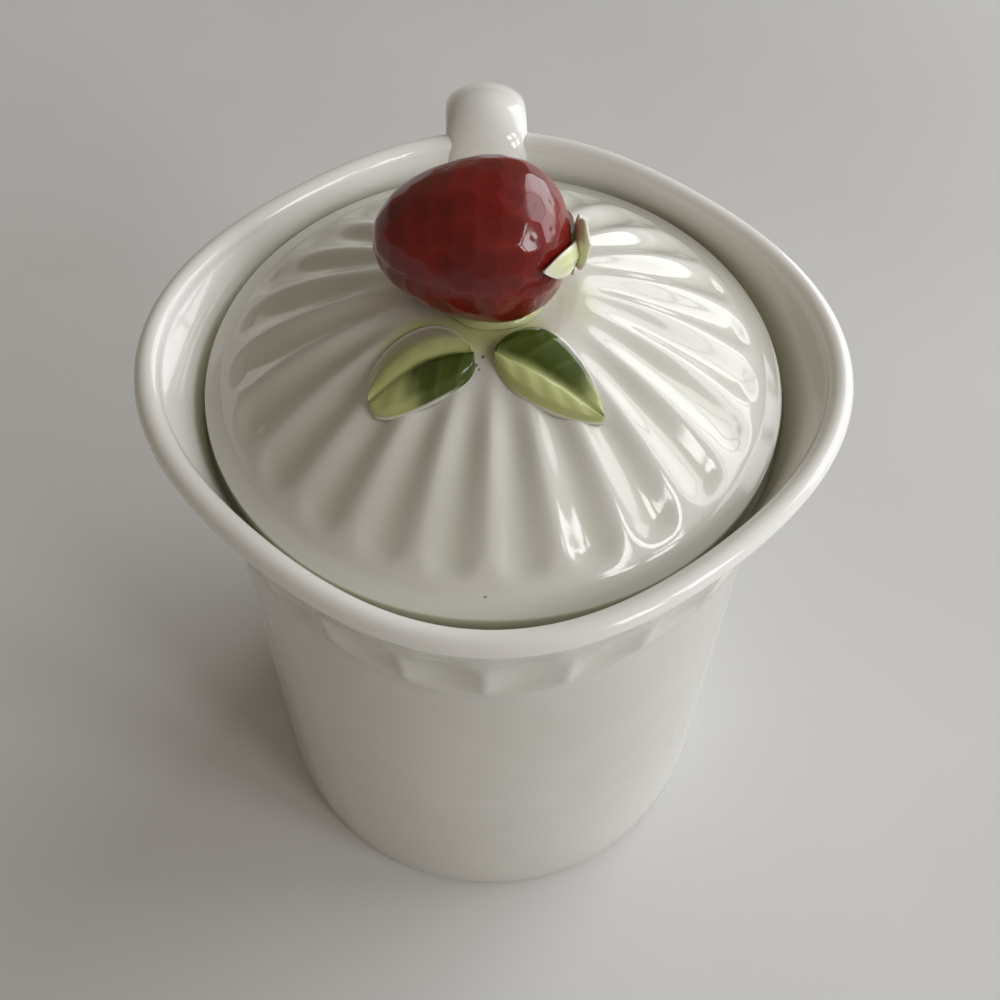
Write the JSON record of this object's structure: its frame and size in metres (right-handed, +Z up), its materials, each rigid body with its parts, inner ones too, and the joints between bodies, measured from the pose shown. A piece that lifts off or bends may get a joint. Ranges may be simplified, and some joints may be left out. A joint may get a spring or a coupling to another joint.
{
  "type": "jam pot",
  "caption": "Glazed jam pot with a four-lobed fluted lip, a strap handle and a loose fluted lid whose knob is a strawberry with calyx and leaves.",
  "frame": {"origin": "centre of the flat underside, on the pot's axis, at table level", "axes": "+Z up along the pot's axis; +Y towards the handle; -X towards the tip of the strawberry"},
  "size_m": [0.0928, 0.1109, 0.1298],
  "materials": {
    "white_glaze": "cream white gloss glaze",
    "pad_glaze": "white glaze washed with yellow green",
    "berry_glaze": "deep red gloss glaze over dimples",
    "calyx_glaze": "pale yellow green gloss glaze",
    "leaf_glaze": "green gloss glaze, light on one half of the blade"
  },
  "bodies": {
    "pot": {"pot_body": "white_glaze", "handle": "white_glaze"},
    "lid": {"lid": "white_glaze", "knob_pad": "pad_glaze", "strawberry": "berry_glaze", "calyx": "calyx_glaze", "leaf_left": "leaf_glaze", "leaf_right": "leaf_glaze"}
  },
  "joints": [
    {"name": "lid_lift", "type": "slide", "parent": "pot", "child": "lid", "axis": [0, 0, 1], "range_m": [0, 0.06]}
  ]
}
